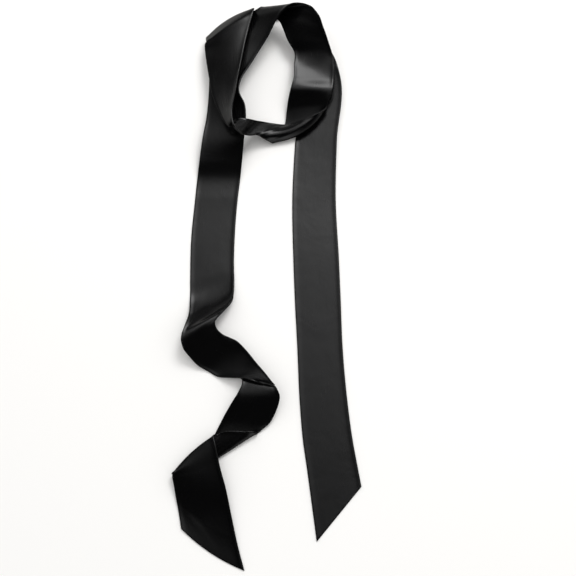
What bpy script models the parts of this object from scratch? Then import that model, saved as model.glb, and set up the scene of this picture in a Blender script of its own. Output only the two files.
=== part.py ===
"""A skinny scarf of black satin, laid out flat.

One turned tube of satin, 50 mm wide and about 2.1 m long, lies on a table
with a loose neck loop at its far end. Its left end twists and curls, and its
right end lies straight. Run it with blender --background --python part.py,
or from the text editor. Sizes here are millimetres, and the scene is in
metres with +Z up and +Y towards the loop.
"""

import math
from collections import namedtuple

import bpy
from mathutils import Vector

MM = 0.001
WALL = 1.2        # both layers of satin, pressed together
SEAM = 0.7        # gap between two stretches, where it is narrowest
ACROSS = 8        # faces across the width
STEP = 5.0        # longest face along a curved stretch
TAIL_STEP = 16.0  # longest face along a straight one
MIDDLE = Vector((-21.5, 57.5, 0.0))  # the middle of the scarf as measured

# Each section runs across the cloth from its outer edge a to its other edge b.
# swell is how far the middle of the section stands off the straight line.
Section = namedtuple("Section", "ax ay az bx by bz swell_x swell_y swell_z",
                     defaults=(0, 0, 0))

SECTIONS = {
    "left_tip": [
        Section(-103, -259.5, 1, -41, -298, 0.6, -2, -3, 0),
        Section(-106.5, -243.5, 1, -48, -274.5, 1.5, -1, -1.5, 0),
        Section(-110, -229, 2.5, -55, -246, 4, -0.5, -1, 0),
        Section(-112.5, -217.5, 5, -61, -221, 7.5),
        Section(-114, -211, 7, -67.5, -199.5, 9.5, 0, 0, -0.5),
        Section(-113.5, -207.5, 8, -72, -179, 11, -1.5, 1.5, -1),
        Section(-114.5, -208, 5, -74, -169.5, 9.5, -2, 2, 0),
    ],
    "left_curl": [
        Section(-113.5, -207, 3, -71.5, -168.5, 8, -1.5, 1.5, 0),
        Section(-99, -205, 2.5, -62.5, -165, 8),
        Section(-91, -199, 3, -43.5, -165, 7.5),
        Section(-88, -201, 2.5, -34, -165, 6.5),
        Section(-85, -201, 2, -31, -165.5, 4),
    ],
    "left_drop": [
        Section(-86, -197, 1, -30.5, -164.5, 1.5),
        Section(-76, -170, 1, -26, -161.5, 2),
        Section(-69, -155, 2.5, -18, -154.5, 3.5),
        Section(-63.5, -144.5, 5, -12.5, -144.5, 6.5),
        Section(-57.5, -134.5, 8, -9, -135, 9.5),
        Section(-51.5, -124.5, 9.5, -8.5, -128, 11.5),
        Section(-48, -116, 9, -10.5, -123, 12),
        Section(-48, -110, 8, -12.5, -119, 11),
        Section(-55, -104, 4.5, -18, -116, 9),
    ],
    "left_wave": [
        Section(-24.5, -116, 12, -13.5, -118, 13.5, 0, 0, 1),
        Section(-35, -113, 12.5, -18, -112.5, 14.5, 0, 0, 0.5),
        Section(-48.5, -109.5, 10.5, -25, -103, 13.5),
        Section(-61.5, -107.5, 7, -33.5, -92, 11.5, 0, 0, -1.5),
        Section(-74.5, -104.5, 1.5, -43, -79, 9.5, 0, 0, -0.5),
        Section(-84.5, -98.5, 1, -54, -68, 11, 0, 0, -1),
        Section(-94.5, -93.5, 4, -61.5, -64.5, 12, 0, 0, -1.5),
        Section(-103.5, -85.5, 9.5, -70, -60.5, 13, 0, 0, -2),
        Section(-110, -78, 14, -76, -54, 14, 0, 0, -0.5),
        Section(-112.5, -70.5, 16.5, -77.5, -47.5, 15.5, 0, 0, 0.5),
        Section(-112.5, -63.5, 17, -70.5, -37, 14.5, 0, 0, 1),
        Section(-110.5, -54, 15.5, -61.5, -22.5, 10, 0, 0, -2.5),
    ],
    "left_tail": [
        Section(-107.5, -35, 7.5, -59.5, -8.5, 4.5, 0, 0, -2),
        Section(-108, -14, 1, -59.5, 6.5, 2, 0, 0, -1),
        Section(-109, 9.5, 0.6, -60.5, 24.5, 1),
        Section(-110.5, 48, 0.6, -61, 48, 0.6),
        Section(-109, 114.5, 0.6, -59, 114.5, 0.6),
        Section(-107.5, 144.5, 2, -56.5, 144.5, 2),
        Section(-105.5, 166, 8.5, -54.5, 165.5, 9),
        Section(-103, 191.5, 13.5, -52.5, 188, 18),
        Section(-99.5, 228, 11.5, -50.5, 219, 24),
    ],
    "back_left": [
        Section(-99, 256, 7.5, -52.5, 237.5, 25),
        Section(-99, 279, 7, -59.5, 256, 25),
        Section(-99, 302, 10, -57.5, 276.5, 23.5),
        Section(-95, 322, 14.5, -46, 302, 22.5),
        Section(-84, 343, 17, -34, 326, 24.5),
        Section(-72, 360, 18, -24.5, 342, 29),
        Section(-61, 377, 16, -14, 363, 36),
        Section(-53.5, 387.5, 16.5, -4.5, 374, 42),
        Section(-39.5, 395, 21.5, 7.5, 383, 43),
    ],
    "right_panel": [
        Section(-35, 400.5, 19, 21, 385.5, 40),
        Section(-30, 402, 14, 29, 381, 41),
        Section(-25, 395, 12, 38, 367, 41.5, 0, 0, 2),
        Section(-12, 376.5, 20, 44.5, 350, 36.5, 0, 0, 3),
        Section(0, 343, 18, 51, 333, 28.5, 0, 0, 3),
        Section(8, 327, 15, 56.5, 315.5, 21.5, 0, 0, 3),
        Section(7.5, 304.5, 17.5, 57.5, 299, 19, 0, 0, -1),
        Section(7, 283.5, 19, 57, 283, 17, 0, 0, -1),
        Section(3, 266, 16.5, 55, 265.5, 17, 0, 0, 1),
        Section(0, 254, 10, 51, 254.5, 14),
        Section(-2, 239.5, 4.5, 48.5, 247.5, 11.5),
        Section(-4, 224.5, 1.5, 47, 244.5, 10.5, 2, -4, 0),
        Section(-13, 205, 1, 47.5, 244.5, 10.5, 5, -9, 0),
    ],
    "throat_band": [
        Section(-19.5, 195, 3, 45.5, 239.5, 13, 6, -10, 0),
        Section(-21.5, 194.5, 5, 39, 232.5, 15, 4, -7, 1.5),
        Section(-25, 195, 7, 23.5, 223, 14.5, 3, -4, 1.5),
        Section(-30.5, 195.5, 11.5, 8, 220.5, 9, 1, -2, 1),
        Section(-36.5, 196.5, 15.5, -3.5, 221, 4, 0, 0, 0.5),
        Section(-43, 193, 20, -18, 223, 4, 0, 0, 0.5),
        Section(-50.5, 190, 25, -34.5, 220.5, 12),
        Section(-57, 183.5, 38, -49, 211.5, 28),
        Section(-62.5, 186.5, 44.5, -59.5, 210.5, 29.5),
    ],
    "left_panel": [
        Section(-65, 196, 46, -68.5, 199, 29.5),
        Section(-66, 208.5, 45.5, -75.5, 207, 28),
        Section(-65.5, 223, 43, -83.5, 226, 25),
        Section(-63.5, 242, 39.5, -92.5, 253, 20.5),
        Section(-61, 269, 35.5, -98.5, 284.5, 17.5, 0, 0, 1),
        Section(-57.5, 299, 32, -103.5, 313.5, 16, 0, 0, 2),
        Section(-54, 328, 29.5, -106, 331.5, 13.5, 0, 0, 4),
        Section(-49.5, 355, 29.5, -106.5, 341, 14, 0, 0, 5),
        Section(-44.5, 380, 30.5, -104.5, 347.5, 14, 0, 0, 5),
        Section(-43.5, 389.5, 28, -106.5, 357.5, 7.5, -4, 6, 0),
        Section(-44.5, 395, 21, -106, 355, 4, -5, 6, 0),
        Section(-48, 394, 14, -100, 352, 2, -4, 5, 0),
    ],
    "right_tail": [
        Section(46, 360, 0.6, 6, 362, 0.6),
        Section(57, 337, 3, 10, 334.5, 0.6),
        Section(63, 307.5, 11.5, 14, 309, 6.5),
        Section(66, 291.5, 10, 17, 295.5, 5),
        Section(59.5, 198.5, 4, 9, 201, 1),
        Section(56, 114.5, 0.6, 5, 114.5, 0.6),
        Section(57.5, 35, 0.6, 6, 35, 0.6),
        Section(58, -15, 0.6, 7.5, -15, 0.6),
        Section(58.5, -74, 0.6, 10, -74, 0.6),
        Section(61.5, -130, 0.6, 12, -130, 0.6),
        Section(65.5, -172, 0.6, 15, -172, 0.6),
        Section(70, -202.5, 0.6, 19, -202.5, 0.6),
        Section(72.5, -219, 0.6, 27.5, -271.5, 0.6),
    ],
}

# Stretches that run on into each other, in order along the cloth.
STRIPS = [
    ["left_tip", "left_curl", "left_drop"],
    ["left_wave", "left_tail", "back_left", "right_panel", "throat_band",
     "left_panel"],
    ["right_tail"],
]

# The cloth hidden behind the loop is bunched into one soft roll on the table.
Bunch = namedtuple("Bunch", "x y z half_width half_height")
BUNCHED = [
    Bunch(-62, 375, 3.2, 7.0, 2.6),
    Bunch(-41, 391, 3.8, 8.0, 3.4),
    Bunch(-15, 404, 4.4, 7.5, 3.8),
    Bunch(8, 404, 4.6, 8.0, 4.0),
    Bunch(23, 396, 4.4, 8.0, 3.8),
    Bunch(29, 382, 3.8, 9.0, 3.2),
    Bunch(28.5, 362.4, 2.8, 10.5, 2.3),
]

SATIN = {"base": (0.012, 0.012, 0.013), "roughness": 0.34}


def blend(table, knots, t):
    """A smooth value of every column at t, through all rows of the table."""
    last = len(knots) - 1
    i = max(k for k in range(last) if k == 0 or knots[k] <= t)

    def slope(k):
        lo, hi = max(k - 1, 0), min(k + 1, last)
        if lo == k or hi == k:
            return [(q - p) / (knots[hi] - knots[lo])
                    for p, q in zip(table[lo], table[hi])]
        h0, h1 = knots[k] - knots[lo], knots[hi] - knots[k]
        return [((q - p) / h0 * h1 + (r - q) / h1 * h0) / (h0 + h1)
                for p, q, r in zip(table[lo], table[k], table[hi])]

    h = knots[i + 1] - knots[i]
    s = (t - knots[i]) / h
    h00, h10 = (1 + 2 * s) * (1 - s) ** 2, s * (1 - s) ** 2
    h01, h11 = s * s * (3 - 2 * s), s * s * (s - 1)
    return [h00 * p + h10 * h * m + h01 * q + h11 * h * n
            for p, q, m, n in zip(table[i], table[i + 1], slope(i), slope(i + 1))]


def distance(p, q):
    """How far apart two sections are, as the mean of both edges."""
    return (math.dist(p[0:3], q[0:3]) + math.dist(p[3:6], q[3:6])) / 2


def past_seam(table, knots, t, way):
    """The place beside t where both edges of the cloth clear the seam."""
    here, there, moved = blend(table, knots, t), t, 0.0
    while moved < SEAM / 2 and abs(there - t) < 3.0:
        there += way * 0.05
        now = blend(table, knots, there)
        moved = min(math.dist(here[0:3], now[0:3]), math.dist(here[3:6], now[3:6]))
    return there


def across(values):
    """The points of one section, from edge a to edge b."""
    a, b, swell = (Vector(values[k:k + 3]) for k in (0, 3, 6))
    line = []
    for k in range(ACROSS + 1):
        u = k / ACROSS
        point = a.lerp(b, u) + swell * 4 * u * (1 - u)
        point.z = max(point.z, WALL / 2)
        line.append((point - MIDDLE) * MM)
    return line


def satin(name):
    material = bpy.data.materials.new(name + "_satin")
    material.use_nodes = True
    shader = material.node_tree.nodes["Principled BSDF"]
    shader.inputs["Base Color"].default_value = (*SATIN["base"], 1)
    shader.inputs["Roughness"].default_value = SATIN["roughness"]
    shader.inputs["Metallic"].default_value = 0
    return material


def add_object(name, rows, closed, collection):
    """Rows of points joined into one mesh, as a sheet or as a closed tube."""
    points = [p for row in rows for p in row]
    wide = len(rows[0])
    faces = []
    for i in range(len(rows) - 1):
        for k in range(wide if closed else wide - 1):
            n = (k + 1) % wide
            faces.append((i * wide + k, i * wide + n,
                          (i + 1) * wide + n, (i + 1) * wide + k))
    if closed:
        faces.append(tuple(reversed(range(wide))))
        faces.append(tuple(range(len(points) - wide, len(points))))
    mesh = bpy.data.meshes.new(name)
    mesh.from_pydata(points, [], faces)
    mesh.validate()
    obj = bpy.data.objects.new(name, mesh)
    mesh.materials.append(satin(name))
    collection.objects.link(obj)
    return obj


def add_strip(names, collection):
    """The stretches of one strip: each a sheet of cloth with a real wall."""
    table, owner = [], []
    for name in names:
        table += [tuple(section) for section in SECTIONS[name]]
        owner += [name] * len(SECTIONS[name])
    knots = [0.0]
    for p, q in zip(table, table[1:]):
        knots.append(knots[-1] + distance(p, q))
    for name in names:
        first = owner.index(name)
        end = first + owner.count(name)
        end = min(end, len(table) - 1)
        start_t = past_seam(table, knots, knots[first], 1) if first else 0.0
        end_t = knots[end]
        if end < len(table) - 1:
            end_t = past_seam(table, knots, end_t, -1)
        longest = TAIL_STEP if name.endswith("tail") else STEP
        stops = [start_t]
        for k in range(first, end):
            lo, hi = max(knots[k], start_t), min(knots[k + 1], end_t)
            by_seam = k == first > 0 or k == end - 1 < len(table) - 2
            parts = max(6 if by_seam else 3, math.ceil((hi - lo) / longest))
            stops += [lo + (hi - lo) * (n + 1) / parts for n in range(parts)]
        rows = [across(blend(table, knots, t)) for t in stops]
        obj = add_object(name, rows, False, collection)
        wall = obj.modifiers.new("Wall", "SOLIDIFY")
        wall.thickness = WALL * MM
        wall.offset = 0
        wall.use_rim = True


def add_bunch(collection):
    """The hidden cloth, as one rounded roll with a flat underside."""
    table = [tuple(b) for b in BUNCHED]
    knots = [0.0]
    for p, q in zip(table, table[1:]):
        knots.append(knots[-1] + math.dist(p[0:2], q[0:2]))
    steps = math.ceil(knots[-1] / STEP)
    spine = [blend(table, knots, knots[-1] * i / steps) for i in range(steps + 1)]
    rows = []
    for i, (x, y, z, half_width, half_height) in enumerate(spine):
        before, after = spine[max(i - 1, 0)], spine[min(i + 1, steps)]
        heading = Vector((after[0] - before[0], after[1] - before[1], 0)).normalized()
        side = Vector((-heading.y, heading.x, 0))
        row = []
        for k in range(16):
            turn = 2 * math.pi * k / 16
            lift = math.copysign(abs(math.sin(turn)) ** 0.8, math.sin(turn))
            point = Vector((x, y, z)) + side * half_width * math.cos(turn)
            point.z = max(z + half_height * lift, 0.0)
            row.append((point - MIDDLE) * MM)
        rows.append(row)
    add_object("collar_back", rows, True, collection)


def main():
    for old in list(bpy.data.objects):
        bpy.data.objects.remove(old, do_unlink=True)
    collection = bpy.data.collections.new("skinny_scarf")
    bpy.context.scene.collection.children.link(collection)
    for names in STRIPS:
        add_strip(names, collection)
    add_bunch(collection)


main()
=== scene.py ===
"""The look of a skinny scarf in black satin, laid out flat on a pale table.

The scarf is one long tube of satin, pressed flat. The sections follow the
cloth from the tip of the left tail, and the hidden stretch behind the loop
comes last. The rows of sections are in millimetres on the table top, and the
scene is in metres with +Z up.
"""

import math

import bpy
import numpy as np
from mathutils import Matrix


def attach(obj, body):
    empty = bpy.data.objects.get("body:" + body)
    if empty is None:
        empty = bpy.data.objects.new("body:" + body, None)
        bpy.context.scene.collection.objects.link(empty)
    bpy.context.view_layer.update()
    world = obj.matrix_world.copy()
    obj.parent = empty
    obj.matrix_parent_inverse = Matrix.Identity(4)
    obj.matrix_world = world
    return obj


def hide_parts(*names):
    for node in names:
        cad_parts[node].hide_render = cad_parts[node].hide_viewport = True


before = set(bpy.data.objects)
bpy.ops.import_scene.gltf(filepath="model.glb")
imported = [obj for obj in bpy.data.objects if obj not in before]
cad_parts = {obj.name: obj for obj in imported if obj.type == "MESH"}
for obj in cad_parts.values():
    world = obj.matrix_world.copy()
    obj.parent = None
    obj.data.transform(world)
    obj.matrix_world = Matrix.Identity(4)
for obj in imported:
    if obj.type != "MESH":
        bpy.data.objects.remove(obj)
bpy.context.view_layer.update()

# ---------------------------------------------------------------------------
# The table top and the light.
# A matt white table under one large soft lamp, in a pale room whose near
# side is dark. The camera looks down from the end of the tails.
# ---------------------------------------------------------------------------


def paint(hex_colour):
    """An sRGB hex colour as the linear colour that Blender works in."""
    parts = [int(hex_colour[k:k + 2], 16) / 255 for k in (1, 3, 5)]
    return [c / 12.92 if c <= 0.04045 else ((c + 0.055) / 1.055) ** 2.4
            for c in parts] + [1.0]


def add_node(tree, kind, settings=None, **sockets):
    """A node with its settings, and each socket given a value or a link.

    A socket goes by its name, with _ for a space, or by _ and its number.
    """
    node = tree.nodes.new(kind)
    for key, value in (settings or {}).items():
        setattr(node, key, value)
    for key, value in sockets.items():
        socket = node.inputs[int(key[1:]) if key[1:].isdigit()
                             else key.replace("_", " ")]
        if isinstance(value, bpy.types.NodeSocket):
            tree.links.new(value, socket)
        else:
            socket.default_value = value
    return node


camera = bpy.data.objects.new("camera", bpy.data.cameras.new("camera"))
camera.location = (0.0215, -0.4508, 0.7949)
camera.rotation_euler = (0.45943, 0.0, 0.0)
camera.data.lens = 50.0
camera.data.sensor_width = 36.0
bpy.context.scene.collection.objects.link(camera)
bpy.context.scene.camera = camera

FLOOR_HALF = 6.0
floor_mesh = bpy.data.meshes.new("table_top")
floor_mesh.from_pydata(
    [(x * FLOOR_HALF, y * FLOOR_HALF, 0.0)
     for x, y in ((-1, -1), (1, -1), (1, 1), (-1, 1))], [], [(0, 1, 2, 3)])
floor = bpy.data.objects.new("table_top", floor_mesh)
bpy.context.scene.collection.objects.link(floor)
# Sprayed matt lacquer, which is pale and even and shows no highlight.
matt_white = bpy.data.materials.new("matt_white_lacquer")
matt_white.use_nodes = True
shader = matt_white.node_tree.nodes["Principled BSDF"]
shader.inputs["Roughness"].default_value = 0.8
shader.inputs["Specular IOR Level"].default_value = 0.1
# Where the satin mirrors the table, the table is painted a darker grey: a
# painted shade in that reflection, so the satin stays deep black.
light_path = add_node(matt_white.node_tree, "ShaderNodeLightPath")
table_colour = add_node(
    matt_white.node_tree, "ShaderNodeMix", {"data_type": "RGBA"},
    _0=light_path.outputs["Is Glossy Ray"], _6=paint("#f4f3f1"),
    _7=paint("#969593"))
matt_white.node_tree.links.new(table_colour.outputs[2],
                               shader.inputs["Base Color"])
floor_mesh.materials.append(matt_white)

# One soft square lamp high up beyond the loop, which the satin doesn't mirror.
LAMP_PLACE = np.array((0.6, 1.1, 1.5))
LAMP_AIM = np.array((0.0, 0.1, 0.0))
lamp_light = bpy.data.lights.new("key", "AREA")
lamp_light.shape = "SQUARE"
lamp_light.size = 0.9
lamp_light.energy = 18.0
lamp = bpy.data.objects.new("key", lamp_light)
lamp.location = LAMP_PLACE
beam = LAMP_AIM - LAMP_PLACE
lamp.rotation_euler = (
    math.pi / 2 + math.atan2(beam[2], math.hypot(beam[0], beam[1])),
    0.0, math.atan2(-beam[0], beam[1]))
lamp.visible_camera = False
lamp.visible_glossy = False
bpy.context.scene.collection.objects.link(lamp)

ROOM_LIGHT = 0.84              # the even light that falls on the table
WINDOW = (0.18, 0.735, 0.655)  # the way to the middle of the window
world = bpy.data.worlds.new("pale_room")
bpy.context.scene.world = world
world.use_nodes = True
tree = world.node_tree
toward = add_node(tree, "ShaderNodeTexCoord").outputs["Generated"]
axes = add_node(tree, "ShaderNodeSeparateXYZ", Vector=toward)
east, north, up = (axes.outputs[axis] for axis in "XYZ")
soft_step = {"interpolation_type": "SMOOTHSTEP"}
# The pale far wall, dark overhead and dimmed low down and at both sides.
wall = add_node(tree, "ShaderNodeMapRange", soft_step, Value=north,
                From_Min=-0.05, From_Max=0.6, To_Min=0.0, To_Max=1.3)
for side, begins, ends, before, after in (
        (north, 0.72, 0.9, 1.0, 0.03),    # low down
        (east, -0.6, 0.3, 0.03, 1.0),     # towards the west
        (east, 0.35, 0.65, 1.0, 0.05)):   # towards the east
    dimmer = add_node(tree, "ShaderNodeMapRange", soft_step, Value=side,
                      From_Min=begins, From_Max=ends,
                      To_Min=before, To_Max=after)
    wall = add_node(tree, "ShaderNodeMath", {"operation": "MULTIPLY"},
                    _0=wall.outputs[0], _1=dimmer.outputs[0])
# The window in it, and the glow low down behind the camera.
to_window = add_node(tree, "ShaderNodeVectorMath",
                     {"operation": "DOT_PRODUCT"}, _0=toward, _1=WINDOW)
window = add_node(tree, "ShaderNodeMapRange", soft_step,
                  Value=to_window.outputs["Value"],
                  From_Min=0.962, From_Max=0.988, To_Min=0.0, To_Max=3.4)
glow = add_node(tree, "ShaderNodeMapRange", soft_step, Value=north,
                From_Min=-0.95, From_Max=-0.62, To_Min=1.0, To_Max=0.0)
room = wall
for light in (window, glow):
    room = add_node(tree, "ShaderNodeMath", {"operation": "ADD"},
                    _0=room.outputs[0], _1=light.outputs[0])
# A dim skirting all round the room, which only steep cloth reflects.
skirting = add_node(tree, "ShaderNodeMapRange", soft_step, Value=up,
                    From_Min=0.15, From_Max=0.4, To_Min=0.22, To_Max=0.0)
room = add_node(tree, "ShaderNodeMath", {"operation": "MAXIMUM"},
                _0=room.outputs[0], _1=skirting.outputs[0])
mirrored = add_node(tree, "ShaderNodeLightPath").outputs["Is Glossy Ray"]
level = add_node(tree, "ShaderNodeMix", {"data_type": "FLOAT"},
                 _0=mirrored, _2=ROOM_LIGHT, _3=room.outputs[0])
tree.links.new(level.outputs[0], tree.nodes["Background"].inputs["Strength"])
tree.nodes["Background"].inputs["Color"].default_value = paint("#ffffff")
# Standard keeps the white of the table and the black of the satin as they are.
bpy.context.scene.view_settings.view_transform = "Standard"

# ---------------------------------------------------------------------------
# The end of the left tail: the slanted tip, the curl and the drop.
# Black polyester satin, cut as one strip, sewn into a tube, turned and
# pressed flat. The tip is sewn shut on the slant before it is turned.
# ---------------------------------------------------------------------------

MIDDLE = np.array((-21.5, 57.5, 0.0))  # of the scarf, at the frame's origin
TO_METRES = 0.001
WIDTH = 50.0          # the pressed tube, from edge to edge
CLOTH = 0.18          # one layer of satin
FLAT_HALF = 0.42      # half the height of the pressed tube
EDGE_ROLL = 0.95      # radius of its two rolled edges
EDGE_FADE = 2.2       # how far in the roll takes to fall to the flat
PLEATS_FROM = 3.0     # how far in from an edge a pleated tube is finer
STEP = 1.6            # from place to place along the outside
INSIDE_COARSER = 2.5  # times that step along the inside
ABOVE_TABLE = 0.02    # the least height of the cloth
THINNEST = 0.05       # the share of its height that the tube ends on
MAP_UNIT = 100.0      # millimetres of cloth to a unit of its map

# One row for each section across the tube: ax, ay, az at one edge, bx, by, bz
# at the other, then how far the middle swells in x, y and z.
LEFT_END = [
    (-103, -259.5, 1, -41, -298, 0.6, -2, -3, 0),
    (-106.5, -243.5, 1, -48, -274.5, 1.5, -1, -1.5, 0),
    (-110, -229, 2.5, -55, -246, 4, -0.5, -1, 0),
    (-112.5, -217.5, 5, -61, -221, 7.5),
    (-114, -211, 7, -67.5, -199.5, 9.5, 0, 0, -0.5),
    (-113.5, -207.5, 8, -72, -179, 11, -1.5, 1.5, -1),
    (-114.5, -208, 5, -74, -169.5, 9.5, -2, 2, 0),
    (-113.5, -207, 3, -71.5, -168.5, 8, -1.5, 1.5, 0),
    (-99, -205, 2.5, -62.5, -165, 8),
    (-91, -199, 3, -43.5, -165, 7.5),
    (-88, -201, 2.5, -34, -165, 6.5),
    (-85, -201, 2, -31, -165.5, 4),
    (-86, -197, 1, -30.5, -164.5, 1.5),
    (-76, -170, 1, -26, -161.5, 2),
    (-69, -155, 2.5, -18, -154.5, 3.5),
    (-63.5, -144.5, 5, -12.5, -144.5, 6.5),
    (-57.5, -134.5, 8, -9, -135, 9.5),
    (-51.5, -124.5, 9.5, -8.5, -128, 11.5),
    (-48, -116, 9, -10.5, -123, 12),
    (-48, -110, 8, -12.5, -119, 11),
    (-55, -104, 4.5, -18, -116, 9),
]


def smooth(table, knots, stops):
    """Every column of the table at each stop, on one smooth curve."""
    h = np.diff(knots)[:, None]
    rise = np.diff(table, axis=0) / h
    slope = np.vstack([
        rise[:1],
        (rise[:-1] * h[1:] + rise[1:] * h[:-1]) / (h[:-1] + h[1:]),
        rise[-1:]])
    i = np.clip(np.searchsorted(knots, stops, "right") - 1, 0, len(h) - 1)
    h, s = h[i], ((stops - knots[i]) / h[i, 0])[:, None]
    return ((1 + 2 * s) * (1 - s) ** 2 * table[i]
            + s * (1 - s) ** 2 * h * slope[i]
            + s * s * (3 - 2 * s) * table[i + 1]
            + s * s * (s - 1) * h * slope[i + 1])


def stops_along(first, last, inside):
    """Places along the tube, in mm, closer together where it rolls shut."""
    step = STEP * (INSIDE_COARSER if inside else 1)
    even = np.linspace(first, last, int((last - first) / step) + 1)
    roll = EDGE_ROLL * (1 - np.cos(np.radians((0, 30, 60, 90))))
    return np.unique(np.concatenate([roll + first, even[1:-1],
                                     last - roll]).round(4))


def places_across(inside, gathered):
    """Places across the tube, in mm, and its half height at each."""
    radius = EDGE_ROLL - CLOTH * inside
    # Close together round the rolled edge, and wider towards the middle.
    roll = np.radians(np.linspace(0, 90, 5))
    inner = radius + np.array([0.9, 2.0, 3.4, 5.0, 7.0, 9.4, 12.0, 15.0, 18.0,
                               21.2])
    half = np.concatenate([radius * (1 - np.cos(roll)), inner])
    flat = FLAT_HALF - (EDGE_ROLL - radius)
    high = np.concatenate([
        radius * np.sin(roll),
        flat + (radius - flat) * np.exp(-((inner - radius) / EDGE_FADE) ** 2)])
    s = np.concatenate([half, [WIDTH / 2], WIDTH - half[::-1]])
    high = np.concatenate([high, [flat], high[::-1]])
    if inside:
        s, high = s[::2] + CLOTH * (1 - 2 * s[::2] / WIDTH), high[::2]
    if gathered:
        # Even and close, to follow the turns of the pleats.
        apart = 1.0 if inside else 0.5
        finer = np.linspace(PLEATS_FROM, WIDTH - PLEATS_FROM,
                            int((WIDTH - 2 * PLEATS_FROM) / apart) + 1)
        left, right = s < PLEATS_FROM, s > WIDTH - PLEATS_FROM
        high = np.concatenate([high[left], np.interp(finer, s, high),
                               high[right]])
        s = np.concatenate([s[left], finer, s[right]])
    return s, high


def relief_of(creases, along, across):
    """How far soft creases raise the cloth from its smooth form."""
    lift = np.zeros((len(along), len(across)))
    for t0, u0, t1, u1, half_width, height in creases:
        run = np.array([t1 - t0, (u1 - u0) * WIDTH])
        length = np.hypot(*run)
        run /= length
        dt, du = along[:, None] - t0, across[None, :] * WIDTH - u0 * WIDTH
        on = dt * run[0] + du * run[1]
        off = -dt * run[1] + du * run[0]
        # Each end of a crease fades out over a quarter of its length.
        fade = np.clip(np.minimum(on, length - on) / (0.25 * length) + 0.5,
                       0, 1)
        lift += (height * np.exp(-(off / half_width) ** 2)
                 * fade * fade * (3 - 2 * fade))
    return lift


def faces_round(start, rows, wide, top_wide):
    """The faces round a tube from point start on, with a cap at each end."""
    faces = [(start + i * wide + k, start + i * wide + (k + 1) % wide,
              start + (i + 1) * wide + (k + 1) % wide,
              start + (i + 1) * wide + k)
             for i in range(rows - 1) for k in range(wide)]
    for i, turned in ((0, True), (rows - 1, False)):
        at = start + i * wide
        for k in range(top_wide - 1):
            below = (at + (wide - k) % wide, at + (wide - k - 1) % wide)
            # At the two edges the top and the underside share a point.
            cap = list(dict.fromkeys([at + k, at + k + 1, below[1], below[0]]))
            faces.append(tuple(cap[::-1] if turned else cap))
    return faces


def lay_tube(name, table, creases=(), pleats=None):
    """A tube of satin along rows of sections: its outside and its inside."""
    table = np.array([tuple(row) + (0,) * (9 - len(row)) for row in table],
                     float)
    knots = np.concatenate([[0], np.cumsum(
        (np.linalg.norm(np.diff(table[:, 0:3], axis=0), axis=1)
         + np.linalg.norm(np.diff(table[:, 3:6], axis=0), axis=1)) / 2)])
    points, faces, cloth = [], [], []
    for inside in (False, True):
        first, last = CLOTH * inside, knots[-1] - CLOTH * inside
        stops = stops_along(first, last, inside)
        s, high = places_across(inside, pleats is not None)
        u = s / WIDTH
        spread, level = pleats(u) if pleats else (u, 0 * u)
        # The middle of the flat tube, halfway between its two layers.
        rows = smooth(table, knots, stops)[:, None, :]
        middle = (rows[..., 0:3] * (1 - spread)[None, :, None]
                  + rows[..., 3:6] * spread[None, :, None]
                  + rows[..., 6:9] * (4 * u * (1 - u))[None, :, None])
        middle[..., 2] += level + relief_of(creases, stops, u)
        up = np.cross(np.gradient(middle, u, axis=1),
                      np.gradient(middle, stops, axis=0))
        up /= np.linalg.norm(up, axis=2, keepdims=True)
        # The tube closes in a half round at each end, as along its edges.
        ends = np.minimum(EDGE_ROLL, np.minimum(stops - first, last - stops))
        fullness = np.sqrt(
            1 - (1 - ends.clip(0) / EDGE_ROLL) ** 2).clip(THINNEST, 1)
        offset = up * (high[None, :] * fullness[:, None])[..., None]
        top, under = middle + offset, middle - offset
        ring = np.concatenate([top, under[:, -2:0:-1]], axis=1)
        ring[..., 2] = ring[..., 2].clip(ABOVE_TABLE + CLOTH * inside, None)
        shell = faces_round(len(points), len(stops), ring.shape[1], len(s))
        faces += [face[::-1] for face in shell] if inside else shell
        points += ((ring - MIDDLE) * TO_METRES).reshape(-1, 3).tolist()
        place = np.concatenate([s, 2 * WIDTH - s[-2:0:-1]])
        cloth += [(a / MAP_UNIT, t / MAP_UNIT) for t in stops for a in place]
    mesh = bpy.data.meshes.new(name)
    mesh.from_pydata(points, [], faces)
    uv = mesh.uv_layers.new(name="cloth")
    corner = np.empty(len(mesh.loops), np.int32)
    mesh.loops.foreach_get("vertex_index", corner)
    uv.data.foreach_set("uv", np.array(cloth)[corner].ravel())
    mesh.shade_smooth()
    obj = bpy.data.objects.new(name, mesh)
    bpy.context.scene.collection.objects.link(obj)
    return obj, knots[-1]


# Woven black polyester satin. Its long warp floats lie side by side on the
# face, so it is deep black with a soft gloss that runs along the cloth. The
# IOR is a little under polyester's 1.6, which keeps the gloss quiet.
black_satin = bpy.data.materials.new("black_polyester_satin")
black_satin.use_nodes = True
tree = black_satin.node_tree
shader = tree.nodes["Principled BSDF"]
shader.inputs["IOR"].default_value = 1.5
shader.inputs["Anisotropic"].default_value = 0.35
WEAVE_DEPTH = 0.0000025  # metres from the low to the high of the threads
PRESSED_DEPTH = 0.0004   # and of the unevenness that pressing leaves
# The patterns lie on the cloth's own map, turned to millimetres here.
on_cloth = add_node(tree, "ShaderNodeUVMap", {"uv_map": "cloth"})
in_mm = add_node(tree, "ShaderNodeVectorMath", {"operation": "SCALE"},
                 _0=on_cloth.outputs["UV"], Scale=MAP_UNIT)
# The warp floats of satin are 0.1 mm apart. They are drawn 0.8 mm wide and
# 40 mm long, so that they show as the faint streaks that run along the cloth.
WARP_WIDE, WARP_LONG = 0.8, 40.0
along_warp = add_node(tree, "ShaderNodeMapping", _0=in_mm.outputs[0],
                      Scale=(1 / WARP_WIDE, 1 / WARP_LONG, 1.0))
warp = add_node(tree, "ShaderNodeTexNoise", Vector=along_warp.outputs[0],
                Scale=1.0, Detail=3.0, Roughness=0.6)
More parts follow.
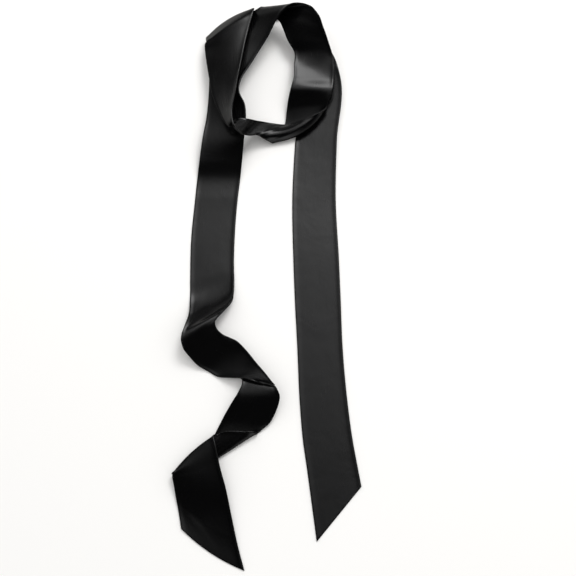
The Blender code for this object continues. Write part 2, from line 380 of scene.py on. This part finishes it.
# Pressing leaves the tube a little uneven, over 35 mm and less.
PRESSED = 35.0
pressed = add_node(tree, "ShaderNodeTexNoise", Vector=in_mm.outputs[0],
                   Scale=1 / PRESSED, Detail=4.0, Roughness=0.55,
                   Distortion=0.4)
unevenness = add_node(tree, "ShaderNodeMath", {"operation": "MULTIPLY_ADD"},
                      _0=pressed.outputs[0], _1=0.5, _2=warp.outputs[0])
roughness = add_node(tree, "ShaderNodeMapRange", Value=unevenness.outputs[0],
                     From_Min=0.45, From_Max=1.05, To_Min=0.24, To_Max=0.28)
tree.links.new(roughness.outputs[0], shader.inputs["Roughness"])
colour = add_node(tree, "ShaderNodeMix", {"data_type": "RGBA"},
                  _0=warp.outputs[0], _6=paint("#020202"),
                  _7=paint("#040405"))
tree.links.new(colour.outputs[2], shader.inputs["Base Color"])
# The weft ties the floats down in slanting lines a fraction of a millimetre
# apart. They are drawn 1.2 mm apart along the cloth, coarse enough to show.
# At a scale of 1 the node's slanting bands come every 2 pi / 10 units.
WEFT_ALONG = 1.184
weft = add_node(tree, "ShaderNodeTexWave",
                {"bands_direction": "DIAGONAL"}, Vector=in_mm.outputs[0],
                Scale=2 * math.pi / 10 / WEFT_ALONG, Distortion=1.5,
                Detail=2.0, Detail_Scale=3.0)
weave = add_node(tree, "ShaderNodeMath", {"operation": "MULTIPLY_ADD"},
                 _0=weft.outputs["Fac"], _1=0.3, _2=warp.outputs[0])
weave_bump = add_node(tree, "ShaderNodeBump", Height=weave.outputs[0],
                      Strength=1.0, Distance=WEAVE_DEPTH)
cloth_bump = add_node(tree, "ShaderNodeBump", Height=pressed.outputs[0],
                      Strength=1.0, Distance=PRESSED_DEPTH,
                      Normal=weave_bump.outputs[0])
tree.links.new(cloth_bump.outputs[0], shader.inputs["Normal"])
grain = add_node(tree, "ShaderNodeTangent",
                 {"direction_type": "UV_MAP", "uv_map": "cloth"})
tree.links.new(grain.outputs[0], shader.inputs["Tangent"])


def wear_satin(obj):
    """Puts a piece in the black satin and on the scarf's one body."""
    obj.data.materials.append(black_satin)
    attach(obj, "root")


# Soft creases that a worn scarf has: from and to, each as mm along the cloth
# and a share across it, then half width and height in mm. A trough has a
# height below zero.
END_CREASES = [
    (24.0, 0.3, 50.0, 0.8, 9.0, -0.35),    # slanting over the tip
    (168.0, 0.15, 188.0, 0.7, 7.0, -0.2),  # slanting over the drop
]

left_end, left_end_length = lay_tube("left_end", LEFT_END, END_CREASES)
wear_satin(left_end)
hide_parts("left_tip", "left_curl", "left_drop")

# ---------------------------------------------------------------------------
# The left tail and the neck loop, one unbroken run of the same satin tube.
# It ripples, lies flat, runs up under the loop, turns over at the top, comes
# down the right, crosses the front and climbs the left, inner edge raised.
# ---------------------------------------------------------------------------

LEFT_WAVE = [
    (-24.5, -116, 12, -13.5, -118, 13.5, 0, 0, 1),
    (-35, -113, 12.5, -18, -112.5, 14.5, 0, 0, 0.5),
    (-48.5, -109.5, 10.5, -25, -103, 13.5),
    (-61.5, -107.5, 7, -33.5, -92, 11.5, 0, 0, -1.5),
    (-74.5, -104.5, 1.5, -43, -79, 9.5, 0, 0, -0.5),
    (-84.5, -98.5, 1, -54, -68, 11, 0, 0, -1),
    (-94.5, -93.5, 4, -61.5, -64.5, 12, 0, 0, -1.5),
    (-103.5, -85.5, 9.5, -70, -60.5, 13, 0, 0, -2),
    (-110, -78, 14, -76, -54, 14, 0, 0, -0.5),
    (-112.5, -70.5, 16.5, -77.5, -47.5, 15.5, 0, 0, 0.5),
    (-112.5, -63.5, 17, -70.5, -37, 14.5, 0, 0, 1),
    (-110.5, -54, 15.5, -61.5, -22.5, 10, 0, 0, -2.5),
]
LEFT_TAIL = [
    (-107.5, -35, 7.5, -59.5, -8.5, 4.5, 0, 0, -2),
    (-108, -14, 1, -59.5, 6.5, 2, 0, 0, -1),
    (-109, 9.5, 0.6, -60.5, 24.5, 1),
    (-110.5, 48, 0.6, -61, 48, 0.6),
    (-109, 114.5, 0.6, -59, 114.5, 0.6),
    (-107.5, 144.5, 2, -56.5, 144.5, 2),
    (-105.5, 166, 8.5, -54.5, 165.5, 9),
    (-103, 191.5, 13.5, -52.5, 188, 18),
    (-99.5, 228, 11.5, -50.5, 219, 24),
]
BACK_LEFT = [
    (-99, 256, 7.5, -52.5, 237.5, 25),
    (-99, 279, 7, -59.5, 256, 25),
    (-99, 302, 10, -57.5, 276.5, 23.5),
    (-95, 322, 14.5, -46, 302, 22.5),
    (-84, 343, 17, -34, 326, 24.5),
    (-72, 360, 18, -24.5, 342, 29),
    (-61, 377, 16, -14, 363, 36),
    (-53.5, 387.5, 16.5, -4.5, 374, 42),
    (-39.5, 395, 21.5, 7.5, 383, 43),
]
RIGHT_PANEL = [
    (-35, 400.5, 19, 21, 385.5, 40),
    (-30, 402, 14, 29, 381, 41),
    (-25, 395, 12, 38, 367, 41.5, 0, 0, 2),
    (-12, 376.5, 20, 44.5, 350, 36.5, 0, 0, 3),
    (0, 343, 18, 51, 333, 28.5, 0, 0, 3),
    (8, 327, 15, 56.5, 315.5, 21.5, 0, 0, 3),
    (7.5, 304.5, 17.5, 57.5, 299, 19, 0, 0, -1),
    (7, 283.5, 19, 57, 283, 17, 0, 0, -1),
    (3, 266, 16.5, 55, 265.5, 17, 0, 0, 1),
    (0, 254, 10, 51, 254.5, 14),
    (-2, 239.5, 4.5, 48.5, 247.5, 11.5),
    (-4, 224.5, 1.5, 47, 244.5, 10.5, 2, -4, 0),
    (-13, 205, 1, 47.5, 244.5, 10.5, 5, -9, 0),
]
THROAT_BAND = [
    (-19.5, 195, 3, 45.5, 239.5, 13, 6, -10, 0),
    (-21.5, 194.5, 5, 39, 232.5, 15, 4, -7, 1.5),
    (-25, 195, 7, 23.5, 223, 14.5, 3, -4, 1.5),
    (-30.5, 195.5, 11.5, 8, 220.5, 9, 1, -2, 1),
    (-36.5, 196.5, 15.5, -3.5, 221, 4, 0, 0, 0.5),
    (-43, 193, 20, -18, 223, 4, 0, 0, 0.5),
    (-50.5, 190, 25, -34.5, 220.5, 12),
    (-57, 183.5, 38, -49, 211.5, 28),
    (-62.5, 186.5, 44.5, -59.5, 210.5, 29.5),
]
LEFT_PANEL = [
    (-65, 196, 46, -68.5, 199, 29.5),
    (-66, 208.5, 45.5, -75.5, 207, 28),
    (-65.5, 223, 43, -83.5, 226, 25),
    (-63.5, 242, 39.5, -92.5, 253, 20.5),
    (-61, 269, 35.5, -98.5, 284.5, 17.5, 0, 0, 1),
    (-57.5, 299, 32, -103.5, 313.5, 16, 0, 0, 2),
    (-54, 328, 29.5, -106, 331.5, 13.5, 0, 0, 4),
    (-49.5, 355, 29.5, -106.5, 341, 14, 0, 0, 5),
    (-44.5, 380, 30.5, -104.5, 347.5, 14, 0, 0, 5),
    (-43.5, 389.5, 28, -106.5, 357.5, 7.5, -4, 6, 0),
    (-44.5, 395, 21, -106, 355, 4, -5, 6, 0),
    (-48, 394, 14, -100, 352, 2, -4, 5, 0),
]

LOOP_CREASES = [
    (86.0, 0.2, 104.0, 0.75, 5.0, -0.25),   # over the rise of the ripple
    (118.0, 0.9, 142.0, 0.3, 5.0, 0.35),    # where it comes down again
    (748.0, 0.0, 748.0, 1.0, 13.0, 1.1),    # across the foot of the right side
    (777.0, 0.0, 777.0, 1.0, 8.0, -1.3),    # the trough below that
    (830.0, 0.02, 836.0, 0.98, 3.0, 0.4),   # where the band turns over
    (905.0, 0.5, 985.0, 0.3, 8.0, 0.25),    # up the left side
    (990.0, 0.75, 1062.0, 0.4, 8.0, -0.3),  # the trough above that
]

loop, loop_length = lay_tube(
    "tail_and_loop",
    LEFT_WAVE + LEFT_TAIL + BACK_LEFT + RIGHT_PANEL + THROAT_BAND + LEFT_PANEL,
    LOOP_CREASES)
wear_satin(loop)
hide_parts("left_wave", "left_tail", "back_left", "right_panel",
            "throat_band", "left_panel")

# ---------------------------------------------------------------------------
# The right tail, the same satin tube. It comes out from under the loop's
# right side and lies straight, and its end is sewn shut on the slant.
# ---------------------------------------------------------------------------

RIGHT_TAIL = [
    (46, 360, 0.6, 6, 362, 0.6),
    (57, 337, 3, 10, 334.5, 0.6),
    (63, 307.5, 11.5, 14, 309, 6.5),
    (66, 291.5, 10, 17, 295.5, 5),
    (59.5, 198.5, 4, 9, 201, 1),
    (56, 114.5, 0.6, 5, 114.5, 0.6),
    (57.5, 35, 0.6, 6, 35, 0.6),
    (58, -15, 0.6, 7.5, -15, 0.6),
    (58.5, -74, 0.6, 10, -74, 0.6),
    (61.5, -130, 0.6, 12, -130, 0.6),
    (65.5, -172, 0.6, 15, -172, 0.6),
    (70, -202.5, 0.6, 19, -202.5, 0.6),
    (72.5, -219, 0.6, 27.5, -271.5, 0.6),
]

right_tail, right_tail_length = lay_tube("right_tail_cloth", RIGHT_TAIL)
wear_satin(right_tail)
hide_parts("right_tail")

# ---------------------------------------------------------------------------
# The hidden stretch behind the loop, between the left side and the right
# tail. It is the same satin tube, gathered there into three pleats.
# ---------------------------------------------------------------------------

LANES = 3  # the pleats, one on another
GAP = 2.2  # from one to the next

COLLAR = [
    (-58.5, 370.5, 3.5, -65.5, 379.5, 3.5),
    (-37.5, 385.5, 4, -44.5, 396.5, 4),
    (-13.5, 398.5, 4.5, -16.5, 409.5, 4.5),
    (6.5, 397.5, 4.5, 9.5, 410.5, 4.5),
    (18.5, 391.5, 4.5, 27.5, 400.5, 4.5),
    (21.5, 381, 4, 36.5, 383, 4),
    (19.5, 362.5, 3.5, 37.5, 362, 3.5),
]


def pleats_across(u):
    """Where the gathered tube lies from edge to edge of its pleats."""
    turn = math.pi * GAP / 2
    lane = (WIDTH - (LANES - 1) * turn) / LANES
    which = np.minimum((u * WIDTH / (lane + turn)).astype(int), LANES - 1)
    rest = u * WIDTH - which * (lane + turn)
    angle = (rest - lane).clip(0) / (GAP / 2)
    along = np.minimum(rest, lane) + GAP / 2 * np.sin(angle)
    along = np.where(which % 2 == 1, lane - along, along)
    level = (which - (LANES - 1) / 2) * GAP + GAP / 2 * (1 - np.cos(angle))
    return along / lane, level


collar, collar_length = lay_tube("collar_cloth", COLLAR, pleats=pleats_across)
wear_satin(collar)
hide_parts("collar_back")
